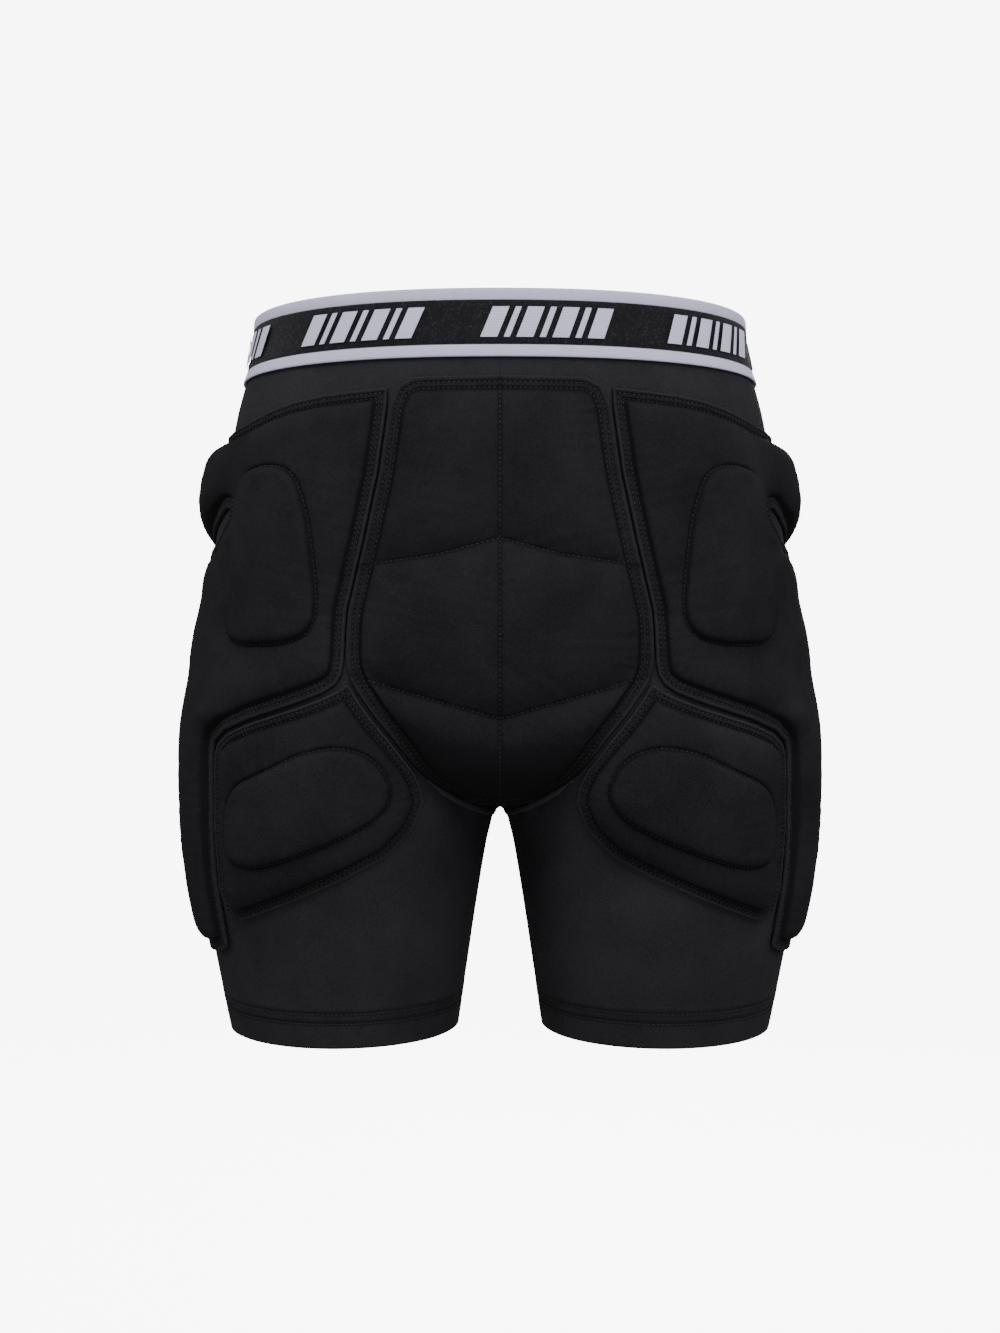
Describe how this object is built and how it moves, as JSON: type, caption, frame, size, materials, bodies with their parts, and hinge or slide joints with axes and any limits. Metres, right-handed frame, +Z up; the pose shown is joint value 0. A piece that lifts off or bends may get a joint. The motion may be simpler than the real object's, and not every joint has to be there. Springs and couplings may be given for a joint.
{
  "type": "padded impact shorts",
  "caption": "Stretch-knit undershorts with an elastic waistband and sewn-on quilted foam panels over the belly, hips, thighs, seat and tailbone.",
  "frame": {"origin": "centre of the waist opening, in the plane of the waistband's top edge", "axes": "+Z up, the wearer faces -Y, the wearer's left is +X"},
  "size_m": [0.404, 0.2761, 0.44],
  "materials": {
    "stretch_knit": "matt warp-knit stretch jersey",
    "cover_knit": "smooth brushed stretch knit over foam, twin-stitched rims",
    "elastic_band": "ribbed woven elastic with two pale edge stripes and a repeated geometric motif",
    "foam": "closed-cell foam, hidden inside the covers"
  },
  "bodies": {
    "hips": {"waistband": "elastic_band", "front_cloth": "stretch_knit", "back_cloth": "stretch_knit", "crotch_gusset": "stretch_knit", "center_cover": "cover_knit", "center_foam_upper_left": "foam", "center_foam_middle_left": "foam", "center_foam_lower_left": "foam", "center_foam_upper_right": "foam", "center_foam_middle_right": "foam", "center_foam_lower_right": "foam", "hip_cover_left": "cover_knit", "hip_foam_left": "foam", "side_foam_upper_left": "foam", "seat_cover_left": "cover_knit", "seat_foam_left": "foam", "hip_cover_right": "cover_knit", "hip_foam_right": "foam", "side_foam_upper_right": "foam", "seat_cover_right": "cover_knit", "seat_foam_right": "foam", "tailbone_cover": "cover_knit", "tailbone_foam": "foam"},
    "leg_left": {"leg_cloth_left": "stretch_knit", "hem_turnup_left": "stretch_knit", "side_cover_left": "cover_knit", "side_foam_left": "foam", "thigh_cover_left": "cover_knit", "thigh_foam_left": "foam"},
    "leg_right": {"leg_cloth_right": "stretch_knit", "hem_turnup_right": "stretch_knit", "side_cover_right": "cover_knit", "side_foam_right": "foam", "thigh_cover_right": "cover_knit", "thigh_foam_right": "foam"}
  },
  "joints": [
    {"name": "leg_left_flex", "type": "hinge", "parent": "hips", "child": "leg_left", "pos_m": [0.11, -0.126, -0.224], "axis": [-1, 0, 0], "range_deg": [0, 25], "stiffness_Nm_per_rad": 4, "springref_deg": -2.29},
    {"name": "leg_right_flex", "type": "hinge", "parent": "hips", "child": "leg_right", "pos_m": [-0.11, -0.126, -0.224], "axis": [-1, 0, 0], "range_deg": [0, 25], "stiffness_Nm_per_rad": 4, "springref_deg": -2.29}
  ]
}
